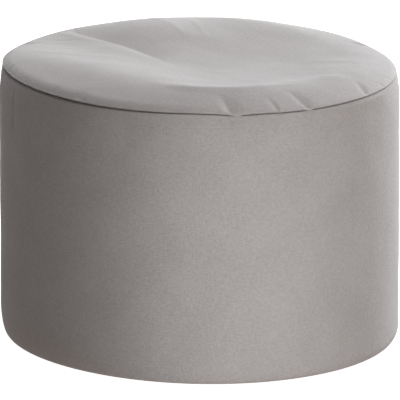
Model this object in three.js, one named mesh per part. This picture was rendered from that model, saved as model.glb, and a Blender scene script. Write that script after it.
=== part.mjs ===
// Bean bag footstool: a soft, bead-filled drum sewn from three pieces of plain cloth.
// Millimetres, +Z up. The origin is the middle of the flat base. -Y is the front.
import * as THREE from 'three';

// ---- Driving dimensions -------------------------------------------------------------
const WALL_RADIUS = 250;      // the wall at its widest
const SEAM_HEIGHT = 342;      // mean height of the seam between the top and the wall
const SEAM_RADIUS = 246;      // the seam lies a little inside the widest wall
const SEAM_SLOPE = -0.005;    // the seam drops to the right: rise for each mm along X
const LEAN = -0.02;           // the wall leans to the left: shift in X for each mm up
const LEAN_CENTRE = 170;      // height at which the lean is nil

// The seam: each cloth edge turns in over a soft lip, and the two meet in a groove.
const SEAM_DEPTH = 7;         // groove, from the lips in to the stitches
const SEAM_LIP = 1.5;         // height of each lip over the stitches
const GAP = 0.3;              // clearance between neighbouring solids

// Top panel: its filled layer, from the stitches inwards.
const TOP_FILL = 10;          // depth of the filled layer away from the seam
const TOP_FILL_BLEND = 30;    // distance over which the depth changes to TOP_FILL

// Base panel: a flat disc let into the underside of the wall.
const BASE_RADIUS = 236;
const BASE_THICKNESS = 3;
const HEM_LIFT = 0.8;         // the turned lower edge of the wall clears the floor

// Shoulder: the wall swells out under the seam, fast at first.
const SHOULDER = 45;          // height under the seam over which it swells
const SHOULDER_ROUNDING = 3;  // power of that curve

const SEGMENTS = 120;         // facets round the drum

const CLOTH_COLOUR = '#a5a09e';
const CLOTH_ROUGHNESS = 0.95;

// The crown climbs from the seam to its rim, and over the middle it is a level with mounds
// and hollows where the filling has been sat on.
const CROWN_LEVEL = 5.5;      // height of the level over the seam's lip
const RIM_ROUNDING = 2.3;     // power of the curve by which the rim climbs

// Rim of the top, by direction. width: from the seam in to where the crown has its full
// height. roll, rollWidth: height and width of the cloth's quick turn out of the seam.
const RIM = [
  { at: -90, width: 60, roll: 3, rollWidth: 9 },
  { at: -45, width: 66, roll: 1.2, rollWidth: 9 },
  { at: 0, width: 60, roll: 2, rollWidth: 9 },
  { at: 45, width: 60, roll: 2, rollWidth: 9 },
  { at: 90, width: 60, roll: 1.5, rollWidth: 9 },
  { at: 135, width: 65, roll: 0.5, rollWidth: 9 },
  { at: 180, width: 85, roll: 4.5, rollWidth: 12 },
  { at: 225, width: 105, roll: 7, rollWidth: 26 },
];
const ROLL_ROUNDING = 2.2;    // power of the curve by which the roll turns over
const ROLL_FADE = 120;        // from the seam in to where the roll's height has died out

// Soft mounds (rise over 0) and hollows (under 0). x, y: middle. long, wide: how far each
// reaches along its two axes. turn: of the long axis from +X, in degrees.
const MOUNDS = [
  { place: 'front ridge', x: 90, y: -185, long: 120, wide: 68, turn: 28, rise: 10 },
  { place: 'front left shoulder', x: -105, y: -120, long: 150, wide: 85, turn: -44, rise: 13 },
  { place: 'back hill', x: -62, y: 140, long: 75, wide: 75, turn: 0, rise: 13 },
  { place: 'back right', x: 70, y: 178, long: 95, wide: 85, turn: -35, rise: 8.5 },
  { place: 'seat hollow', x: 45, y: 0, long: 130, wide: 70, turn: 45, rise: -4 },
  { place: 'back left dip', x: -160, y: 110, long: 85, wide: 65, turn: 34, rise: -8 },
  { place: 'right rim', x: 205, y: -75, long: 95, wide: 75, turn: 90, rise: 6 },
];

// The crease where the cloth folds into the hollow, from the back left rim to the middle.
const CREASE = {
  from: { x: -165, y: 168 }, to: { x: -48, y: 6 }, fade: 50,
  depth: 3.5, leftWidth: 28, rightWidth: 40,
};

// Turned lower edge of the wall, by direction. inset: how far in. height: how far up.
const LOWER_EDGE = [
  { at: -90, inset: 7, height: 16 },
  { at: -45, inset: 10, height: 13 },
  { at: 0, inset: 11, height: 16 },
  { at: 45, inset: 8, height: 12 },
  { at: 90, inset: 8, height: 14 },
  { at: 135, inset: 7, height: 22 },
  { at: 180, inset: 7, height: 40 },
  { at: 225, inset: 8, height: 34 },
];

// Puckers where the top is gathered into the seam. at: direction at the seam.
// lean: how far the pucker has turned at its inner end, in degrees round the drum.
// length: from the seam inwards. width: from its middle to its edge. depth: of the dimple.
const PUCKERS = [
  { at: -79.8, lean: -3.2, length: 34, width: 11, depth: 5 },
  { at: -66.4, lean: -1.6, length: 26, width: 7, depth: 3 },
  { at: -56, lean: -3, length: 36, width: 10, depth: 4.5 },
  { at: -32.6, lean: 4.5, length: 30, width: 10, depth: 3.4 },
  { at: -128, lean: 2, length: 24, width: 8, depth: 2 },
  { at: 28, lean: 4, length: 30, width: 9, depth: 4 },
  { at: 74, lean: -3, length: 34, width: 10, depth: 4 },
  { at: 106, lean: 4, length: 30, width: 9, depth: 4 },
  { at: 158, lean: -4, length: 26, width: 9, depth: 3 },
];

// ---- Shape functions ----------------------------------------------------------------
const { lerp, clamp, smoothstep, degToRad, radToDeg, euclideanModulo } = THREE.MathUtils;

// Smooth closed curve through a table's rows, which stand evenly round the drum.
function aroundTable(rows, column, degrees) {
  const count = rows.length;
  const place = euclideanModulo((degrees - rows[0].at) * count / 360, count);
  const first = Math.floor(place);
  const t = place - first;
  const value = (step) => rows[(first + step + count) % count][column];
  const [before, start, end, after] = [value(-1), value(0), value(1), value(2)];
  const startSlope = (end - before) / 2;
  const endSlope = (after - start) / 2;
  return start + t * (startSlope
    + t * (3 * (end - start) - 2 * startSlope - endSlope
    + t * (2 * (start - end) + startSlope + endSlope)));
}

function seamHeight(x) {
  return SEAM_HEIGHT + SEAM_SLOPE * x;
}

// Height of one mound at a point.
function moundRise({ x: middleX, y: middleY, long, wide, turn, rise }, x, y) {
  const [cos, sin] = [Math.cos(degToRad(turn)), Math.sin(degToRad(turn))];
  const along = (x - middleX) * cos + (y - middleY) * sin;
  const across = (y - middleY) * cos - (x - middleX) * sin;
  return rise * Math.exp(-((along / long) ** 2) - (across / wide) ** 2);
}

// Depth of the crease at a point. It is sharp along its line and dies out at the inner end.
function creaseDepth(x, y) {
  const { from, to, fade, depth, leftWidth, rightWidth } = CREASE;
  const length = Math.hypot(to.x - from.x, to.y - from.y);
  const [dirX, dirY] = [(to.x - from.x) / length, (to.y - from.y) / length];
  const along = (x - from.x) * dirX + (y - from.y) * dirY;
  const right = (x - from.x) * -dirY + (y - from.y) * dirX;
  const width = right > 0 ? rightWidth : leftWidth;
  const share = clamp(1 - Math.abs(right) / width, 0, 1);
  return depth * share ** 2 * smoothstep(length - along, -fade, fade);
}

// Height of the top over the seam's lip, without puckers.
function crownRise(x, y) {
  const fromSeam = SEAM_RADIUS - Math.hypot(x, y);
  const degrees = radToDeg(Math.atan2(y, x));
  const climbed = (width, rounding) => 1 - (1 - clamp(fromSeam / width, 0, 1)) ** rounding;
  let rise = CROWN_LEVEL - creaseDepth(x, y);
  for (const mound of MOUNDS) rise += moundRise(mound, x, y);
  const roll = aroundTable(RIM, 'roll', degrees) * (1 - smoothstep(fromSeam, 0, ROLL_FADE));
  return rise * climbed(aroundTable(RIM, 'width', degrees), RIM_ROUNDING)
    + roll * climbed(aroundTable(RIM, 'rollWidth', degrees), ROLL_ROUNDING);
}

// Depth of the puckers at a point of the top.
function puckerDepth(x, y) {
  const radius = Math.hypot(x, y);
  const degrees = radToDeg(Math.atan2(y, x));
  const fromSeam = Math.max(SEAM_RADIUS - radius, 0);
  let total = 0;
  for (const { at, lean, length, width, depth } of PUCKERS) {
    const along = fromSeam / length;
    if (along >= 1) continue;
    const turned = euclideanModulo(degrees - at - lean * along + 180, 360) - 180;
    const across = degToRad(turned) * radius / width;
    if (Math.abs(across) >= 1) continue;
    total += depth * (1 - across ** 2) ** 2 * (1 - along) * smoothstep(along, 0, 0.3);
  }
  return total;
}

function topHeight(x, y) {
  return seamHeight(x) + SEAM_LIP + crownRise(x, y) - puckerDepth(x, y);
}

// Under face of the top panel, which the filling in the wall meets.
function fillingHeight(x, y) {
  const radius = Math.hypot(x, y);
  const rootRadius = SEAM_RADIUS - SEAM_DEPTH;
  const rootScale = radius > 0 ? rootRadius / radius : 0;
  const rootFill = SEAM_LIP + crownRise(x * rootScale, y * rootScale) - GAP / 2;
  const inward = smoothstep(rootRadius - radius, 0, TOP_FILL_BLEND);
  return seamHeight(x) + SEAM_LIP + crownRise(x, y) - lerp(rootFill, TOP_FILL, inward);
}

// ---- Solids from rings --------------------------------------------------------------
// A ring is a function of the direction that gives a point {radius, z}. A solid's rings
// start at the middle of its upper face and end at the middle of its lower face. Each band
// is cut along the same diagonal in plan, so two faces that meet have the same facets.
function ringSolid(name, upperCentre, rings, lowerCentre) {
  const positions = [];
  const addPoint = (x, y, z) => positions.push(x + LEAN * (z - LEAN_CENTRE), y, z);
  addPoint(0, 0, upperCentre);
  for (const ring of rings) {
    for (let i = 0; i < SEGMENTS; i += 1) {
      const degrees = 360 * i / SEGMENTS;
      const { radius, z } = ring(degrees);
      addPoint(radius * Math.cos(degToRad(degrees)), radius * Math.sin(degToRad(degrees)), z);
    }
  }
  addPoint(0, 0, lowerCentre);

  const index = [];
  const at = (ring, i) => 1 + ring * SEGMENTS + i % SEGMENTS;
  const lastPoint = positions.length / 3 - 1;
  const lastRing = rings.length - 1;
  const runsInward = (ring) => rings[ring + 1](0).radius < rings[ring](0).radius;
  for (let i = 0; i < SEGMENTS; i += 1) {
    index.push(0, at(0, i), at(0, i + 1));
    for (let ring = 0; ring < lastRing; ring += 1) {
      const [a, b, c, d] = [at(ring, i), at(ring + 1, i), at(ring + 1, i + 1), at(ring, i + 1)];
      if (runsInward(ring)) index.push(a, b, d, b, c, d);
      else index.push(a, b, c, a, c, d);
    }
    index.push(at(lastRing, i), lastPoint, at(lastRing, i + 1));
  }
  const geometry = new THREE.BufferGeometry();
  geometry.setAttribute('position', new THREE.Float32BufferAttribute(positions, 3));
  geometry.setIndex(index);
  geometry.computeVertexNormals();
  const material = new THREE.MeshStandardMaterial({
    color: CLOTH_COLOUR, roughness: CLOTH_ROUGHNESS, metalness: 0,
  });
  const mesh = new THREE.Mesh(geometry, material);
  mesh.name = name;
  return mesh;
}

// Ring at a radius, whose height is a function of the point.
function ringOn(height, radius, offset = 0) {
  return (degrees) => {
    const x = radius * Math.cos(degToRad(degrees));
    const y = radius * Math.sin(degToRad(degrees));
    return { radius, z: height(x, y) + offset };
  };
}

// Ring at a radius, at a height over the seam.
function ringAtSeam(radius, offset) {
  return ringOn((x) => seamHeight(x), radius, offset);
}

// Groove flank of a seam lip, from the outside in to the stitches: share of the groove's
// depth, and share of the lip's height.
const LIP_PROFILE = [
  { inward: 0.00, out: 1.00 },
  { inward: 0.15, out: 0.40 },
];

// Rings where the top panel's under face meets the filling in the wall, by radius.
const MEETING_RADII = [60, 120, 170, 205, 222, 232];

// ---- Top panel ----------------------------------------------------------------------
const TOP_RADII = [
  22, 44, 64, 84, 102, 120, 136, 151, 165, 178, 190, 201, 211, 220, 228, 235, 240, 243.5,
];

function topPanel() {
  const rings = TOP_RADII.map((radius) => ringOn(topHeight, radius));
  for (const { inward, out } of LIP_PROFILE) {
    rings.push(ringAtSeam(SEAM_RADIUS - inward * SEAM_DEPTH, Math.max(out * SEAM_LIP, GAP / 2)));
  }
  rings.push(ringAtSeam(SEAM_RADIUS - SEAM_DEPTH, GAP / 2));
  for (const radius of [...MEETING_RADII].reverse()) rings.push(ringOn(fillingHeight, radius));
  return ringSolid('top_panel', topHeight(0, 0), rings, fillingHeight(0, 0));
}

// ---- Side panel, with the filling that it holds -----------------------------------------
const SHOULDER_STEPS = 4;
const WALL_STEPS = 2;
const LOWER_EDGE_STEPS = 4;

function shoulderRing(share) {
  const swell = 1 - (1 - share) ** SHOULDER_ROUNDING;
  const radius = lerp(SEAM_RADIUS, WALL_RADIUS, swell);
  return ringAtSeam(radius, -lerp(SEAM_LIP, SHOULDER, share));
}

function lowerEdgeTop(degrees) {
  return HEM_LIFT + aroundTable(LOWER_EDGE, 'height', degrees);
}

function wallRing(share) {
  return (degrees) => {
    const shoulderFoot = seamHeight(WALL_RADIUS * Math.cos(degToRad(degrees))) - SHOULDER;
    return { radius: WALL_RADIUS, z: lerp(shoulderFoot, lowerEdgeTop(degrees), share) };
  };
}

function lowerEdgeRing(share) {
  const turn = share * Math.PI / 2;
  return (degrees) => {
    const inset = aroundTable(LOWER_EDGE, 'inset', degrees) * (1 - Math.cos(turn));
    const drop = aroundTable(LOWER_EDGE, 'height', degrees) * Math.sin(turn);
    return { radius: WALL_RADIUS - inset, z: lowerEdgeTop(degrees) - drop };
  };
}

function sidePanel() {
  const rings = MEETING_RADII.map((radius) => ringOn(fillingHeight, radius, -GAP));
  rings.push(ringAtSeam(SEAM_RADIUS - SEAM_DEPTH, -GAP / 2));
  for (const { inward, out } of [...LIP_PROFILE].reverse()) {
    rings.push(ringAtSeam(SEAM_RADIUS - inward * SEAM_DEPTH, -Math.max(out * SEAM_LIP, GAP / 2)));
  }
  for (let step = 1; step <= SHOULDER_STEPS; step += 1) {
    rings.push(shoulderRing((step / SHOULDER_STEPS) ** 1.5));
  }
  for (let step = 1; step <= WALL_STEPS; step += 1) rings.push(wallRing(step / WALL_STEPS));
  for (let step = 1; step <= LOWER_EDGE_STEPS; step += 1) {
    rings.push(lowerEdgeRing(step / LOWER_EDGE_STEPS));
  }
  const recessRoof = BASE_THICKNESS + GAP;
  rings.push(() => ({ radius: BASE_RADIUS + GAP, z: HEM_LIFT }));
  rings.push(() => ({ radius: BASE_RADIUS + GAP, z: recessRoof }));
  return ringSolid('side_panel', fillingHeight(0, 0) - GAP, rings, recessRoof);
}

// ---- Base panel -----------------------------------------------------------------------
function basePanel() {
  const rings = [
    () => ({ radius: BASE_RADIUS, z: BASE_THICKNESS }),
    () => ({ radius: BASE_RADIUS, z: 0 }),
  ];
  return ringSolid('base_panel', BASE_THICKNESS, rings, 0);
}

// ---- Footstool ------------------------------------------------------------------------
const footstool = new THREE.Group();
footstool.add(topPanel(), sidePanel(), basePanel());

// The lean sets the widest points a little to one side: centre the whole over the origin.
const centre = new THREE.Box3().setFromObject(footstool).getCenter(new THREE.Vector3());
footstool.position.set(-centre.x, -centre.y, 0);

export default footstool;
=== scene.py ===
"""Bean bag footstool: its finished looks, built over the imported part. Metres, +Z up, -Y front."""
import math

import bpy
import numpy as np
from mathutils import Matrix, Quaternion, Vector, noise


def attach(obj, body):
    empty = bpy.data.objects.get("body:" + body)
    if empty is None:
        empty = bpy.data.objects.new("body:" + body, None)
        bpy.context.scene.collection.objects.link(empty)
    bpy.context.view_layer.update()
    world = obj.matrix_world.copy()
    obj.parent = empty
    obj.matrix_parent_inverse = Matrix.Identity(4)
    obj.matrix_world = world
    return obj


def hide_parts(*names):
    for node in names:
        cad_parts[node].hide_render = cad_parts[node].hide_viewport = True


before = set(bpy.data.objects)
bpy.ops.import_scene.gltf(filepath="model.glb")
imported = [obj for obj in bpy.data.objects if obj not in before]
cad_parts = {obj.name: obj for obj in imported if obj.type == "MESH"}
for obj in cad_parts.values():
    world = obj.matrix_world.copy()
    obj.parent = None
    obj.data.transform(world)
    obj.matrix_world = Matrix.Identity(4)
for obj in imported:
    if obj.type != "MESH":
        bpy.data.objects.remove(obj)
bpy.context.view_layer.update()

MM = 0.001

# ---- Sizes, as in the part -------------------------------------------------------------
WALL_RADIUS = 250 * MM          # the wall at its widest
SEAM_HEIGHT = 342 * MM          # mean height of the seam between the top and the wall
SEAM_RADIUS = 246 * MM          # the seam lies a little inside the widest wall
SEAM_SLOPE = -0.005             # the seam drops to the right: rise for each metre along X
LEAN = -0.02                    # the wall leans to the left: shift in X for each metre up
LEAN_CENTRE = 170 * MM          # height at which the lean is nil
SEAM_DEPTH = 7 * MM             # groove of the seam, from its lips in to the stitches
SEAM_LIP = 1.5 * MM             # height of each lip over the stitches
GAP = 0.3 * MM                  # clearance between neighbouring pieces
TOP_FILL = 10 * MM              # depth of the top's filled layer away from the seam
TOP_FILL_BLEND = 30 * MM        # distance over which the depth changes to TOP_FILL
BASE_RADIUS = 236 * MM
BASE_THICKNESS = 3 * MM
HEM_LIFT = 0.8 * MM             # the turned lower edge of the wall clears the floor
SHOULDER = 45 * MM              # height under the seam over which the wall swells out
SHOULDER_ROUNDING = 3           # power of that curve
CROWN_LEVEL = 5.5 * MM          # height of the crown's level over the seam's lip
RIM_ROUNDING = 2.3              # power of the curve by which the rim climbs
ROLL_ROUNDING = 2.2             # power of the curve by which the roll turns over
ROLL_FADE = 120 * MM            # from the seam in to where the roll's height has died out

# Mounds and hollows of the crown, in millimetres and degrees:
# middle x, y, reach along and across, turn of the long axis from +X, rise.
MOUNDS = {
    "front ridge": (90, -185, 120, 68, 28, 10),
    "front left shoulder": (-105, -120, 150, 85, -44, 13),
    "back hill": (-62, 140, 75, 75, 0, 13),
    "back right": (70, 178, 95, 85, -35, 8.5),
    "seat hollow": (45, 0, 130, 70, 45, -4),
    "back left dip": (-160, 110, 85, 65, 34, -8),
    "right rim": (205, -75, 95, 75, 90, 6),
}

# Crease into the hollow, in millimetres: its ends, half the length of the fade at the inner
# end, its depth, and its half widths to the left and right as seen from the front.
CREASE_FROM, CREASE_TO = (-165, 168), (-48, 6)
CREASE_FADE, CREASE_DEPTH, CREASE_LEFT, CREASE_RIGHT = 50, 3.5, 28, 40

# ---- Sizes that change round the drum --------------------------------------------------
# One value for each of these directions, in degrees. All but the last row are millimetres.
COMPASS = (-90, -45, 0, 45, 90, 135, 180, 225)
RIM_WIDTH = (60, 66, 60, 60, 60, 65, 85, 108)     # from the seam in to the full crown
ROLL_HEIGHT = (3, 1.2, 2, 2, 1.5, .5, 5, 6.5)     # of the cloth's quick turn out of the seam
ROLL_WIDTH = (9, 9, 9, 9, 9, 9, 12, 15)           # of that turn
HEM_INSET = (7, 10, 11, 8, 8, 7, 7, 8)            # how far the wall's lower edge turns in
HEM_HEIGHT = (16, 13, 16, 12, 14, 22, 40, 34)     # height over which it turns
LIP_OPENING = (.85, .75, .35, 1, 1, 1, 1.4, 1.5)  # height of the seam's lips, in SEAM_LIPs

# ---- Folds and gathers -----------------------------------------------------------------
# Puckers at the seam: direction and lean in degrees, then in millimetres the length, the
# half width to the left and to the right as seen from outside, and the depth.
PUCKERS = [
    (-80.3, -3, 33, 12, 18, 6.4),
    (-66.4, -1.4, 26, 9, 4.5, 3.6),
    (-56, -3.2, 37, 12, 14, 5.6),
    (-33, 4.5, 30, 9, 12, 3.4),
    (-128, 2, 24, 8, 8, 2),
    (28, 4, 30, 9, 9, 4),
    (74, -3, 34, 10, 10, 4),
    (106, 4, 30, 9, 9, 4),
    (158, -4, 26, 9, 9, 3),
]
# Nips at the seam that are too small for the part: the same columns.
NIPS = [
    (-170, -2, 12, 4, 4, 2),
    (-165, -2.5, 15, 3.5, 5, 2.8),
    (-160, -3, 12, 4, 4, 2.4),
    (-155.5, -2, 10, 3, 4, 2),
    (-151, -3, 14, 4, 5, 2.6),
    (-145, -1, 12, 5, 5, 1.4),
    (-137, -1, 14, 9, 9, 2),
    (-126, -1, 14, 6, 6, 1.6),
    (-111, 1, 10, 5, 5, 1),
    (-90, 0, 8, 3, 3, 1),
    (-77.5, 0, 10, 3.5, 3.5, 1.8),
    (-48, -1, 12, 4, 4, 1),
    (-21, -2, 15, 5, 5, 1.4),
    (-13, -2, 12, 5, 5, 1),
    (8, 2, 14, 5, 5, 1.4),
    (49, 2, 16, 6, 6, 1.6),
    (90, -2, 14, 5, 5, 1.4),
    (131, 3, 16, 6, 6, 1.5),
    (176, -2, 14, 5, 5, 1.4),
]
PUCKER_FLANK = 1.5              # power of the curve from a pucker's edge to its line
PUCKER_ROOT = .2                # share of its length over which it deepens from the seam in

# Folds on the top, in millimetres: first end, second end, bow to the left of the way from
# one to the other, half widths to the left and right, height (under 0 for a trough).
FOLDS = [
    (-66, -168, 118, -136, -43, 22, 12, 3),
    (95, -174, 200, -92, 24, 16, 24, 1.7),
    (-165, 152, -56, -4, 0, 9, 9, .5),
    (-182, 142, -90, 20, 0, 12, 24, 1),
    (-182, 168, -118, 82, 0, 13, 9, 1.3),
    (32, -171, 86, -160, -4, 3, 3, .8),
    (80, -170, 122, -146, -3, 4, 4, .5),
    (-200, 112, -146, 110, 0, 5, 5, -.6),
    (-178, 50, -128, 46, 0, 6, 6, -.4),
    (-212, 25, -170, 0, -4, 8, 8, .4),
    (-200, 9, -62, -20, 0, 12, 12, .4),
    (-150, -26, -108, -30, 0, 6, 6, .35),
    (-70, 205, -10, 80, 4, 7, 7, .5),
    (-24, 210, 8, 95, 4, 5, 5, .35),
    (150, 5, 206, -32, 22, 10, 10, .3),
    (140, 10, 182, 24, -6, 8, 8, .25),
]
# Folds of the wall: direction in degrees and height in millimetres of each end, then the
# bow, half widths and height as for the top, on the wall as it is unrolled.
WALL_FOLDS = [
    (-64, 315, -14, 319, 0, 9, 45, -1.8),
    (-56, 312, -22, 322, 4, 9, 9, -.8),
    (-62, 335.5, -14, 336.5, 0, 3, 3, 1.1),
    (-30, 300, -18, 330, 3, 8, 8, .4),
    (-156.5, 340, -157, 262, 0, 4, 4, -1.2),
    (-153, 338, -152, 290, 0, 6, 6, .4),
    (-133, 338, -134, 300, 0, 9, 9, -.5),
    (-122, 338, -124, 295, 0, 9, 9, .4),
    (-112, 338, -110, 300, 0, 8, 8, -.4),
    (-101, 338, -102, 305, 0, 9, 9, .35),
    (-84, 338, -88, 300, 0, 10, 10, -.35),
    (-57, 336, -50, 300, 0, 9, 9, .5),
    (20, 338, 24, 290, 0, 10, 10, -.6),
    (52, 338, 46, 280, 0, 9, 9, .5),
    (74, 338, 78, 300, 0, 9, 9, -.6),
    (106, 338, 100, 290, 0, 9, 9, -.6),
    (131, 338, 134, 270, 0, 11, 11, .5),
    (158, 338, 152, 290, 0, 9, 9, -.6),
    (188, 338, 184, 290, 0, 10, 10, .4),
]
FOLD_ENDS = .3                  # share of a fold's length over which each end dies out
TOP_FOLD_FADE = 10 * MM         # distance from the seam over which the top's folds come in
WALL_CUT = -170                 # degrees: where the wall is cut to be unrolled
WALL_MARGIN = .3 * MM           # what lies this far outside the seam is the wall's outer face
WALL_FADE_SEAM = 4 * MM         # under the seam's lip: where the wall's folds and lumps come in
WALL_FADE_FOOT = 60 * MM        # over the floor: where they come in

# Where a pucker's cloth bulges over the seam: direction and half width in degrees, bulge in mm.
SEAM_BULGES = [
    (-79.4, 2.8, 2.5),
    (-66.2, 1.2, 1.0),
    (-56.8, 2.0, 2.2),
]
BULGE_REACH = 14 * MM           # from the seam in to where a bulge has died out
BULGE_DROP = .7                 # how far a bulge also sinks, as a share of it

# Rise and fall of the seam: direction and reach in degrees, height in mm.
SEAM_WAVES = [
    (-120, 20, -.9),
    (-92, 9, .8),
    (-79, 5, -1.3),
    (-58, 12, -.8),
    (46, 16, 1.8),
    (155, 20, -3.2),
]
SEAM_WAVE_REACH = 40 * MM       # distance from the seam over which its rise and fall dies out

# Low, soft unevenness of the filling: size of a lump, and height.
LUMPS = [
    (70 * MM, .8 * MM),
    (28 * MM, .3 * MM),
]
TOP_LUMP_FADE = 30 * MM         # distance from the seam over which the top's lumps come in

LEAST_RADIUS = 1 * MM           # what a point's radius counts as at least, where it divides


# ---- Shape functions -------------------------------------------------------------------
def smoothstep(share):
    share = np.clip(share, 0, 1)
    return share * share * (3 - 2 * share)


def around(row, degrees):
    """Smooth closed curve through a row of sizes, one for each direction of the compass."""
    values = np.array(row, float)
    count = len(values)
    place = np.mod((degrees - COMPASS[0]) * count / 360, count)
    first = np.floor(place).astype(int)
    t = place - first
    before, start, end, after = (values[(first + step) % count] for step in (-1, 0, 1, 2))
    start_slope, end_slope = (end - before) / 2, (after - start) / 2
    return start + t * (start_slope + t * (3 * (end - start) - 2 * start_slope - end_slope
                        + t * (2 * (start - end) + start_slope + end_slope)))


def direction(x, y):
    """Direction of points round the drum, in degrees."""
    return np.degrees(np.arctan2(y, x))


def degrees_off(degrees, middle):
    """Turn from a middle direction, from -180 to 180 degrees."""
    return np.mod(degrees - middle + 180, 360) - 180


def place_on_line(x, y, start, end):
    """How far points lie along a line from its start, how far to its left, and its length."""
    (x0, y0), (x1, y1) = start, end
    length = math.hypot(x1 - x0, y1 - y0)
    way_x, way_y = (x1 - x0) / length, (y1 - y0) / length
    along = (x - x0) * way_x + (y - y0) * way_y
    left = (y - y0) * way_x - (x - x0) * way_y
    return along, left, length


def seam_height(x):
    return SEAM_HEIGHT + SEAM_SLOPE * x


def seam_wave(degrees):
    """How far the seam lies over its mean line in a direction."""
    total = 0 * degrees
    for at, reach, height in SEAM_WAVES:
        total = total + height * MM * np.exp(-(degrees_off(degrees, at) / reach) ** 2)
    return total


def crease_depth(x, y):
    """Depth of the crease: sharp along its line, and faded out at its inner end."""
    start, end = np.array(CREASE_FROM) * MM, np.array(CREASE_TO) * MM
    along, left, length = place_on_line(x, y, start, end)
    # The crease comes towards the front, so from there the left of its way is the right.
    width = np.where(left > 0, CREASE_RIGHT, CREASE_LEFT) * MM
    share = np.clip(1 - np.abs(left) / width, 0, 1)
    fade = CREASE_FADE * MM
    return CREASE_DEPTH * MM * share ** 2 * smoothstep((length - along + fade) / (2 * fade))


def mound_rise(mound, x, y):
    """Rise of one mound at points, or its fall where it is a hollow."""
    middle_x, middle_y, reach_along, reach_across, turn, height = mound
    cos, sin = math.cos(math.radians(turn)), math.sin(math.radians(turn))
    away_x, away_y = x - middle_x * MM, y - middle_y * MM
    along = (away_x * cos + away_y * sin) / (reach_along * MM)
    across = (away_y * cos - away_x * sin) / (reach_across * MM)
    return height * MM * np.exp(-along ** 2 - across ** 2)


def roll_rise(off_seam, degrees):
    """Height of the roll: the quick turn of the cloth out of the seam."""
    share = np.clip(off_seam / (around(ROLL_WIDTH, degrees) * MM), 0, 1)
    turned = around(ROLL_HEIGHT, degrees) * MM * (1 - (1 - share) ** ROLL_ROUNDING)
    return turned * (1 - smoothstep(off_seam / ROLL_FADE))


def crown_rise(x, y):
    """Height of the top over the seam's lip, without its folds and gathers."""
    degrees = direction(x, y)
    off_seam = SEAM_RADIUS - np.hypot(x, y)
    level = CROWN_LEVEL - crease_depth(x, y)
    for mound in MOUNDS.values():
        level = level + mound_rise(mound, x, y)
    climb = np.clip(off_seam / (around(RIM_WIDTH, degrees) * MM), 0, 1)
    return level * (1 - (1 - climb) ** RIM_ROUNDING) + roll_rise(off_seam, degrees)


def fold_rise(x, y, folds):
    """Height of folds at points. A fold's places and sizes are in metres here."""
    total = 0 * x
    for x0, y0, x1, y1, bow, left_width, right_width, height in folds:
        along, left, length = place_on_line(x, y, (x0, y0), (x1, y1))
        share = along / length
        off_fold = left - bow * 4 * share * (1 - share)
        across = off_fold / np.where(off_fold > 0, left_width, right_width)
        ends = smoothstep(share / FOLD_ENDS) * smoothstep((1 - share) / FOLD_ENDS)
        total = total + height * ends * np.exp(-across ** 2)
    return total


def pucker_depth(x, y, puckers):
    """Depth of puckers at points: deepest along a pucker's line, a little in from the seam."""
    radius = np.hypot(x, y)
    degrees = direction(x, y)
    from_seam = np.maximum(SEAM_RADIUS - radius, 0)
    total = 0 * x
    for at, lean, length, left, right, depth in puckers:
        along = np.clip(from_seam / (length * MM), 0, 1)
        turned = degrees_off(degrees, at + lean * along)
        width = np.where(turned < 0, left, right) * MM
        across = np.clip(np.radians(turned) * radius / width, -1, 1)
        flank = (1 - np.abs(across)) ** PUCKER_FLANK
        ends = (1 - along) * smoothstep(along / PUCKER_ROOT)
        total = total + depth * MM * flank * ends
    return total


def top_height(x, y):
    """Height of the top's outer face."""
    gathers = pucker_depth(x, y, PUCKERS) + pucker_depth(x, y, NIPS)
    folds = fold_rise(x, y, np.array(FOLDS) * MM)
    folds = folds * smoothstep((SEAM_RADIUS - np.hypot(x, y)) / TOP_FOLD_FADE)
    return seam_height(x) + SEAM_LIP + crown_rise(x, y) - gathers + folds


def filling_height(x, y):
    """Height of the top's under face, which the filling in the wall meets."""
    radius = np.hypot(x, y)
    root_radius = SEAM_RADIUS - SEAM_DEPTH
    scale = root_radius / np.maximum(radius, LEAST_RADIUS)
    root_fill = SEAM_LIP + crown_rise(x * scale, y * scale) - GAP / 2
    inward = smoothstep((root_radius - radius) / TOP_FILL_BLEND)
    fill = root_fill + (TOP_FILL - root_fill) * inward
    return seam_height(x) + SEAM_LIP + crown_rise(x, y) - fill


# ---- Unevenness that moves finished points ---------------------------------------------
def lump_rise(points):
    """Rise of the filling's lumps at points."""
    rises = []
    for x, y, z in points.tolist():
        place = Vector((x, y, z))
        rises.append(sum(height * noise.noise(place / size) for size, height in LUMPS))
    return np.array(rises)


def wave_seam(points):
    """Move what lies near the seam up and down with it."""
    x, y, z = points.T
    degrees = direction(x, y)
    off_seam = np.hypot(SEAM_RADIUS - np.hypot(x, y), z - seam_height(x))
    points[:, 2] += seam_wave(degrees) * (1 - smoothstep(off_seam / SEAM_WAVE_REACH))
    return points


def wall_fold_rise(x, y, z):
    """Height of the wall's folds, on the wall unrolled from WALL_CUT."""
    degrees = np.mod(direction(x, y) - WALL_CUT, 360) + WALL_CUT
    folds = []
    for start, z0, end, z1, *sizes in WALL_FOLDS:
        x0, x1 = math.radians(start) * WALL_RADIUS, math.radians(end) * WALL_RADIUS
        folds.append((x0, z0 * MM, x1, z1 * MM, *(size * MM for size in sizes)))
    return fold_rise(np.radians(degrees) * WALL_RADIUS, z, folds)


def uneven_wall(points):
    """Fold and lump the outside of the wall, then wave its seam."""
    outside = np.where(np.hypot(points[:, 0], points[:, 1]) > SEAM_RADIUS + WALL_MARGIN)[0]
    x, y, z = points[outside].T
    relief = wall_fold_rise(x, y, z) + lump_rise(points[outside])
    relief = relief * smoothstep((seam_height(x) - SEAM_LIP - z) / WALL_FADE_SEAM)
    relief = relief * smoothstep(z / WALL_FADE_FOOT)
    points[outside, :2] *= (1 + relief / np.hypot(x, y))[:, np.newaxis]
    return wave_seam(points)


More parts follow.
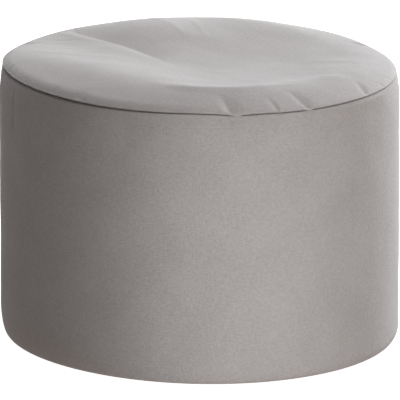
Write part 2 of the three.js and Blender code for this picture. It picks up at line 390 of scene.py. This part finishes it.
def uneven_top(points):
    """Lump the top, push its rim out and down over the seam at the puckers, then wave it."""
    x, y = points[:, 0], points[:, 1]
    radius = np.hypot(x, y)
    on_floor = points * (1, 1, 0)
    points[:, 2] += lump_rise(on_floor) * smoothstep((SEAM_RADIUS - radius) / TOP_LUMP_FADE)
    degrees = direction(x, y)
    bulge = 0 * x
    for at, half_width, height in SEAM_BULGES:
        share = np.clip(degrees_off(degrees, at) / half_width, -1, 1)
        bulge = bulge + height * MM * (1 - share ** 2) ** 2
    bulge = bulge * smoothstep((radius - SEAM_RADIUS + BULGE_REACH) / BULGE_REACH)
    bulge = bulge * (points[:, 2] > seam_height(x) + SEAM_LIP / 2)
    points[:, :2] *= (1 + bulge / np.maximum(radius, LEAST_RADIUS))[:, np.newaxis]
    points[:, 2] -= BULGE_DROP * bulge
    return wave_seam(points)


# ---- Meshes from rings -----------------------------------------------------------------
SEGMENTS = 720
DIRECTIONS = np.linspace(0, 360, SEGMENTS, endpoint=False)
COS, SIN = np.cos(np.radians(DIRECTIONS)), np.sin(np.radians(DIRECTIONS))
NEIGHBOURS = [(a, (a + 1) % SEGMENTS) for a in range(SEGMENTS)]


def mesh_object(name, points, faces):
    """New object in the scene, from an array of points and a list of faces."""
    mesh = bpy.data.meshes.new(name)
    mesh.from_pydata(points.tolist(), [], faces)
    made = bpy.data.objects.new(name, mesh)
    bpy.context.scene.collection.objects.link(made)
    return made


def ring_points(radius, z):
    """Points of a ring. Its radius and height are numbers, or arrays over DIRECTIONS."""
    radius, z = radius + 0 * COS, z + 0 * COS
    return np.stack([radius * COS, radius * SIN, z], axis=1)


def band_faces(low):
    """Faces between the ring whose first point is low and the ring after it."""
    return [(low + a, low + a + SEGMENTS, low + b + SEGMENTS, low + b) for a, b in NEIGHBOURS]


def shell_faces(ring_count):
    """Faces of a closed form: a middle point, the rings in turn, and the other middle."""
    faces = [(0, 1 + a, 1 + b) for a, b in NEIGHBOURS]
    for ring in range(ring_count - 1):
        faces += band_faces(1 + ring * SEGMENTS)
    low = 1 + (ring_count - 1) * SEGMENTS
    faces += [(low + a, low + SEGMENTS, low + b) for a, b in NEIGHBOURS]
    return faces


def ring_piece(name, upper_centre, rings, lower_centre, shaped=None):
    """Closed, smooth, leaning piece from rings (radius, z), from its upper middle down."""
    points = [np.array([[0, 0, upper_centre]])]
    points += [ring_points(radius, z) for radius, z in rings]
    points.append(np.array([[0, 0, lower_centre]]))
    points = np.concatenate(points)
    if shaped:
        points = shaped(points)
    points[:, 0] += LEAN * (points[:, 2] - LEAN_CENTRE)
    piece = mesh_object(name, points, shell_faces(len(rings)))
    piece.data.polygons.foreach_set("use_smooth", [True] * len(piece.data.polygons))
    piece.data.update()
    return piece


def ring_on(height, radius, offset=0.0):
    """Ring that lies on a height function, or an offset over it."""
    return radius, height(radius * COS, radius * SIN) + offset


def ring_at_seam(radius, offset):
    """Ring that follows the seam, an offset over it."""
    return radius, seam_height(radius * COS) + offset


# ---- Covers ------------------------------------------------------------------------------
# Groove flank of a seam lip, from the outside in: share of the depth, share of the height.
LIP_PROFILE = [(0, 1), (.06, .62), (.2, .36), (.5, .18), (1, .1)]
# Radii in mm of the rings on the top, from the middle: from, up to, step.
TOP_RINGS = [(4, 184, 4), (184, 236, 2), (236, 246, 1)]
# Radii in mm of the rings where the top and the filling of the wall meet.
MEETING_RADII = (40, 80, 120, 150, 180, 205, 222, 232)
SHOULDER_RINGS, WALL_RINGS, HEM_RINGS = 14, 60, 10
SHOULDER_SPACING = 1.5          # power that sets the shoulder's rings closer near the seam


def lip_rings(sign):
    """Rings of a seam lip from the outside in, over the seam for sign 1 and under it for -1."""
    height = around(LIP_OPENING, DIRECTIONS) * SEAM_LIP
    return [ring_at_seam(SEAM_RADIUS - inward * SEAM_DEPTH, sign * out * height)
            for inward, out in LIP_PROFILE]


def top_cover():
    radii = np.concatenate([np.arange(start, end, step) for start, end, step in TOP_RINGS])
    rings = [ring_on(top_height, radius * MM) for radius in radii]
    rings += lip_rings(1)
    rings += [ring_on(filling_height, radius * MM) for radius in reversed(MEETING_RADII)]
    centre = np.zeros(1)
    upper, lower = top_height(centre, centre)[0], filling_height(centre, centre)[0]
    return ring_piece("top_cover", upper, rings, lower, uneven_top)


def shoulder_rings():
    """Rings of the wall from under the seam's lip to where it is at its widest."""
    rings = []
    for step in range(1, SHOULDER_RINGS + 1):
        share = (step / SHOULDER_RINGS) ** SHOULDER_SPACING
        swell = 1 - (1 - share) ** SHOULDER_ROUNDING
        radius = SEAM_RADIUS + (WALL_RADIUS - SEAM_RADIUS) * swell
        rings.append(ring_at_seam(radius, -(SEAM_LIP + (SHOULDER - SEAM_LIP) * share)))
    return rings


def wall_and_hem_rings():
    """Rings of the upright wall, and of its lower edge, which turns in as a quarter ellipse."""
    inset, height = around(HEM_INSET, DIRECTIONS) * MM, around(HEM_HEIGHT, DIRECTIONS) * MM
    wall_top = seam_height(WALL_RADIUS * COS) - SHOULDER
    rings = []
    for step in range(1, WALL_RINGS + 1):
        share = step / WALL_RINGS
        rings.append((WALL_RADIUS, wall_top + (HEM_LIFT + height - wall_top) * share))
    for step in range(1, HEM_RINGS + 1):
        turn = step / HEM_RINGS * math.pi / 2
        radius = WALL_RADIUS - inset * (1 - math.cos(turn))
        rings.append((radius, HEM_LIFT + height * (1 - math.sin(turn))))
    return rings


def side_cover():
    """The wall with its filling, from the face that meets the top to the one over the base."""
    rings = [ring_on(filling_height, radius * MM, -GAP) for radius in MEETING_RADII]
    rings += reversed(lip_rings(-1))
    rings += shoulder_rings() + wall_and_hem_rings()
    roof = BASE_THICKNESS + GAP
    rings += [(BASE_RADIUS + GAP, HEM_LIFT), (BASE_RADIUS + GAP, roof)]
    centre = np.zeros(1)
    upper = filling_height(centre, centre)[0] - GAP
    return ring_piece("side_cover", upper, rings, roof, uneven_wall)


def base_cover():
    """A flat disc, with a ring half way out on each face."""
    rings = [(BASE_RADIUS * share, BASE_THICKNESS) for share in (.5, 1)]
    rings += [(BASE_RADIUS * share, 0) for share in (1, .5)]
    return ring_piece("base_cover", BASE_THICKNESS, rings, 0)


top, side, base = top_cover(), side_cover(), base_cover()

# ---- Cloth -------------------------------------------------------------------------------
CLOTH_SHADE, CLOTH_LIGHT = (.355, .338, .331, 1), (.485, .466, .459, 1)
THREAD_WIDTH, SLUB_LENGTH, MOTTLE_SIZE = 1.8 * MM, 5 * MM, 60 * MM
FLAT_THREAD_HEIGHT, WALL_THREAD_HEIGHT = .2 * MM, .5 * MM
# What each noise adds to the tone, which runs from CLOTH_SHADE at 0 to CLOTH_LIGHT at 1.
WEFT_SHARE, WARP_SHARE, MOTTLE_SHARE = 1.1, .9, .6
MIDDLE_TONE = .5
NOISE_MEAN = .5


def noise_along(tree, scale, detail):
    """Noise stretched by a scale for each axis, in object space."""
    place = tree.nodes.new("ShaderNodeTexCoord")
    stretch = tree.nodes.new("ShaderNodeMapping")
    stretch.vector_type = "POINT"
    stretch.inputs["Scale"].default_value = scale
    texture = tree.nodes.new("ShaderNodeTexNoise")
    texture.inputs["Scale"].default_value = 1
    texture.inputs["Detail"].default_value = detail
    tree.links.new(place.outputs["Object"], stretch.inputs["Vector"])
    tree.links.new(stretch.outputs["Vector"], texture.inputs["Vector"])
    return texture.outputs["Fac"]


def weighted(tree, value, weight, added=0.0):
    """value * weight + added, where added is a number or a socket."""
    node = tree.nodes.new("ShaderNodeMath")
    node.operation = "MULTIPLY_ADD"
    tree.links.new(value, node.inputs[0])
    node.inputs[1].default_value = weight
    if isinstance(added, float):
        node.inputs[2].default_value = added
    else:
        tree.links.new(added, node.inputs[2])
    return node.outputs[0]


def woven_cloth(name, weft_scale, warp_scale, thread_height):
    """Plain weave of slubbed threads. The two scales stretch the noise of each set of threads."""
    material = bpy.data.materials.new(name)
    material.use_nodes = True
    tree = material.node_tree
    shader = tree.nodes["Principled BSDF"]
    shader.inputs["Roughness"].default_value = .95
    shader.inputs["Specular IOR Level"].default_value = .2
    shader.inputs["Sheen Weight"].default_value = .15
    shader.inputs["Sheen Roughness"].default_value = .45
    weft = noise_along(tree, weft_scale, detail=3)
    warp = noise_along(tree, warp_scale, detail=3)
    mottle = noise_along(tree, (1 / MOTTLE_SIZE,) * 3, detail=4)
    threads = weighted(tree, warp, WARP_SHARE, -NOISE_MEAN * (WEFT_SHARE + WARP_SHARE))
    threads = weighted(tree, weft, WEFT_SHARE, threads)
    tone = weighted(tree, threads, 1, MIDDLE_TONE - NOISE_MEAN * MOTTLE_SHARE)
    tone = weighted(tree, mottle, MOTTLE_SHARE, tone)
    colour = tree.nodes.new("ShaderNodeMix")
    colour.data_type = "RGBA"
    colour.inputs["A"].default_value = CLOTH_SHADE
    colour.inputs["B"].default_value = CLOTH_LIGHT
    tree.links.new(tone, colour.inputs["Factor"])
    tree.links.new(colour.outputs["Result"], shader.inputs["Base Color"])
    relief = tree.nodes.new("ShaderNodeBump")
    relief.inputs["Strength"].default_value = 1
    relief.inputs["Distance"].default_value = thread_height
    tree.links.new(threads, relief.inputs["Height"])
    tree.links.new(relief.outputs["Normal"], shader.inputs["Normal"])
    return material


ACROSS, ALONG = 1 / THREAD_WIDTH, 1 / SLUB_LENGTH
# Flat cloth has threads along X and Y. The wall's run round it and up it.
flat_cloth = woven_cloth("cover_cloth_flat", (ALONG, ACROSS, 0), (ACROSS, ALONG, 0),
                         FLAT_THREAD_HEIGHT)
wall_cloth = woven_cloth("cover_cloth_wall", (ALONG, ALONG, ACROSS), (ACROSS, ACROSS, ALONG),
                         WALL_THREAD_HEIGHT)

DRESSED = [
    (top, "top_panel", flat_cloth),
    (side, "side_panel", wall_cloth),
    (base, "base_panel", flat_cloth),
]
for piece, node, cloth in DRESSED:
    piece.data.materials.append(cloth)
    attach(piece, "root")
    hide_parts(node)

# ---- Floor -------------------------------------------------------------------------------
FLOOR_RADIUS = 40
FLOOR_OPENING = 237 * MM        # radius, a little over the base's
FLOOR_GLOW = .95                # strength of its own light, which keeps it white in every view


def studio_floor():
    """A round floor, open where the base stands on it, so that the underside shows."""
    points = np.concatenate([ring_points(FLOOR_OPENING, 0), ring_points(FLOOR_RADIUS, 0)])
    floor = mesh_object("studio_floor", points, band_faces(0))
    paint = bpy.data.materials.new("floor_paint")
    paint.use_nodes = True
    shader = paint.node_tree.nodes["Principled BSDF"]
    shader.inputs["Base Color"].default_value = (.5, .5, .5, 1)
    shader.inputs["Roughness"].default_value = 1
    shader.inputs["Specular IOR Level"].default_value = 0
    shader.inputs["Emission Color"].default_value = (1, 1, 1, 1)
    shader.inputs["Emission Strength"].default_value = FLOOR_GLOW
    floor.data.materials.append(paint)
    floor.visible_diffuse = False
    floor.visible_glossy = False
    floor.visible_shadow = False


studio_floor()

# ---- Light -------------------------------------------------------------------------------
LIGHT_AIM = Vector((0, 0, .22))
WARM_WHITE, WHITE, COOL_WHITE = (1.03, .99, .98), (1, 1, 1), (.96, 1, 1.04)
# Soft boxes: azimuth in degrees (0 is +X, 90 the back), distance from the axis and height,
# width and height of the box in metres, power in watts, colour.
SOFT_BOXES = {
    "front_near": (-79, .8, .13, .35, .5, 2.15, (.98, 1, 1.02)),
    "overhead": (0, .1, 3.2, 1.5, 1.5, 45, WARM_WHITE),
    "right_low": (-30, 3.47, .71, 1.5, 1.5, 40, WARM_WHITE),
    "back_high": (60, 2.47, 2.69, 1.5, 1.5, 61, COOL_WHITE),
    "back_right": (45, 1.6, .5, .6, .6, 23.5, COOL_WHITE),
    "back": (105, 1.6, .5, .6, .6, 8.3, WHITE),
    "left_low": (150, 3.47, .71, 1.5, 1.5, 29, COOL_WHITE),
}
# Light from below: its strength straight down, its colour, and the heights of a direction
# (-1 is straight down, 0 level) at which it starts to weaken and has died out.
BOUNCE_STRENGTH, BOUNCE_COLOUR = .5, (1, .8, .7, 1)
BOUNCE_FULL, BOUNCE_NONE = -.9, .1


def soft_box(name, azimuth, distance, height, box_width, box_height, power, colour):
    """Rectangular area light that faces LIGHT_AIM and that the camera doesn't see."""
    turn = math.radians(azimuth)
    data = bpy.data.lights.new(name, "AREA")
    data.shape = "RECTANGLE"
    data.size, data.size_y = box_width, box_height
    data.energy = power
    data.color = colour
    light = bpy.data.objects.new(name, data)
    light.location = (distance * math.cos(turn), distance * math.sin(turn), height)
    light.rotation_euler = (LIGHT_AIM - light.location).to_track_quat("-Z", "Y").to_euler()
    light.visible_camera = False
    bpy.context.scene.collection.objects.link(light)


def bounce_from_below():
    """World light that comes from below, as off a wide table top of a warm colour."""
    world = bpy.data.worlds.new("studio")
    world.use_nodes = True
    nodes, links = world.node_tree.nodes, world.node_tree.links
    place = nodes.new("ShaderNodeTexCoord")
    axes = nodes.new("ShaderNodeSeparateXYZ")
    fade = nodes.new("ShaderNodeMapRange")
    fade.interpolation_type = "SMOOTHSTEP"
    fade.inputs["From Min"].default_value = BOUNCE_FULL
    fade.inputs["From Max"].default_value = BOUNCE_NONE
    fade.inputs["To Min"].default_value = BOUNCE_STRENGTH
    fade.inputs["To Max"].default_value = 0
    links.new(place.outputs["Generated"], axes.inputs["Vector"])
    links.new(axes.outputs["Z"], fade.inputs["Value"])
    links.new(fade.outputs["Result"], nodes["Background"].inputs["Strength"])
    nodes["Background"].inputs["Color"].default_value = BOUNCE_COLOUR
    bpy.context.scene.world = world


for box_name, box in SOFT_BOXES.items():
    soft_box(box_name, *box)
bounce_from_below()
bpy.context.scene.view_settings.view_transform = "Standard"

# ---- Camera ------------------------------------------------------------------------------
FRAME_PIXELS = 400
PIXEL = 1.2535 * MM             # what a pixel of the frame spans at the footstool
CAMERA_DISTANCE = 9.0
CAMERA_ELEVATION = math.radians(14.8)
CAMERA_ROLL = math.radians(1.17)
CAMERA_AIM = Vector((.0005, 0, .170))
CAMERA_REACH = 100              # metres, past the floor's far edge
SENSOR_WIDTH = 36.0             # mm


def product_camera():
    """Camera in front of the footstool, a little over it and rolled a little."""
    data = bpy.data.cameras.new("camera")
    data.sensor_width = SENSOR_WIDTH
    data.lens = SENSOR_WIDTH * CAMERA_DISTANCE / (PIXEL * FRAME_PIXELS)
    data.clip_end = CAMERA_REACH
    camera = bpy.data.objects.new("camera", data)
    bpy.context.scene.collection.objects.link(camera)
    back = Vector((0, -math.cos(CAMERA_ELEVATION), math.sin(CAMERA_ELEVATION)))
    camera.location = CAMERA_AIM + back * CAMERA_DISTANCE
    aim = (-back).to_track_quat("-Z", "Y")
    camera.rotation_euler = (aim @ Quaternion((0, 0, 1), CAMERA_ROLL)).to_euler()
    return camera


bpy.context.scene.camera = product_camera()
